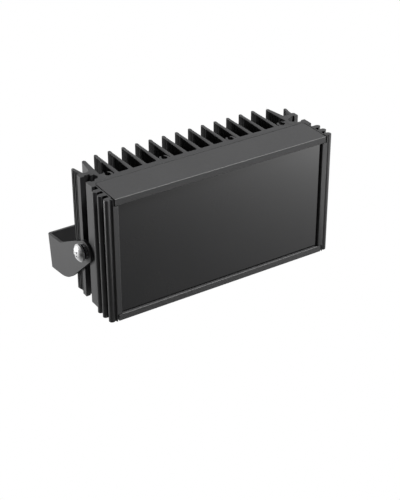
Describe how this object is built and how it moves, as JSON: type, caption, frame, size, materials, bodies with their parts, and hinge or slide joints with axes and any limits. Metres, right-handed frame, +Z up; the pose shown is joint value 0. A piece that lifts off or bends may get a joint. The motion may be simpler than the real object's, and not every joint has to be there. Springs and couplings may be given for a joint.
{
  "type": "infrared illuminator",
  "caption": "Black infrared floodlight: finned aluminium body, recessed dark window, T-slot sides, tilting on a U-shaped wall bracket.",
  "frame": {"origin": "centre of the bracket strap's back face, midway between its two wall holes", "axes": "+X to the right of someone who faces the window, +Y out of the strap's back, into the wall, +Z up; the lamp faces -Y and leans 6 degrees nose-down at rest"},
  "size_m": [0.2086, 0.1053, 0.1094],
  "materials": {
    "bracket_paint": "satin black powder coat",
    "anodised": "black anodised extrusion",
    "cap_black": "fine satin black anodised plate",
    "seal_rubber": "matte black silicone",
    "screw_steel": "bright zinc-plated steel",
    "washer_bright": "bright zinc-plated steel",
    "washer_black": "blackened spring steel",
    "window_glass": "dark infrared-pass pane",
    "pad_grey": "soft thermal pad",
    "board_white": "white solder mask",
    "emitter_resin": "clear resin on a dark chip",
    "clear_lens": "clear moulded lens",
    "board_green": "green solder mask",
    "ferrite": "wound ferrite ring",
    "can_aluminium": "capacitor can",
    "terminal_green": "moulded terminal",
    "lead_jacket": "wire jacket",
    "gland_black": "black polyamide"
  },
  "bodies": {
    "bracket": {"bracket": "bracket_paint"},
    "clamps": {"clamp_screws": "screw_steel", "tooth_washers": "washer_bright", "spring_washers": "washer_black", "slot_nuts": "screw_steel"},
    "lamp": {"housing": "anodised", "top_cap": "cap_black", "bottom_cap": "cap_black", "top_cap_seal": "seal_rubber", "bottom_cap_seal": "seal_rubber", "cap_screws": "screw_steel", "front_window": "window_glass", "window_seal": "seal_rubber", "thermal_pad": "pad_grey", "led_board": "board_white", "led_emitters": "emitter_resin", "lens_array": "clear_lens", "board_screws": "screw_steel", "driver_board": "board_green", "standoffs": "screw_steel", "driver_screws": "screw_steel", "inductor": "ferrite", "capacitors": "can_aluminium", "terminal_block": "terminal_green", "led_leads": "lead_jacket", "gland_body": "gland_black", "gland_seal": "seal_rubber", "gland_insert": "seal_rubber", "gland_locknut": "gland_black"}
  },
  "joints": [
    {"name": "tilt", "type": "hinge", "parent": "bracket", "child": "clamps", "pos_m": [0, -0.0619, 0.0217], "axis": [1, 0, 0], "range_deg": [-50, 18]},
    {"name": "slot_slide", "type": "slide", "parent": "clamps", "child": "lamp", "axis": [0, -0.1045, 0.9945], "range_m": [-0.02, 0.02]}
  ]
}
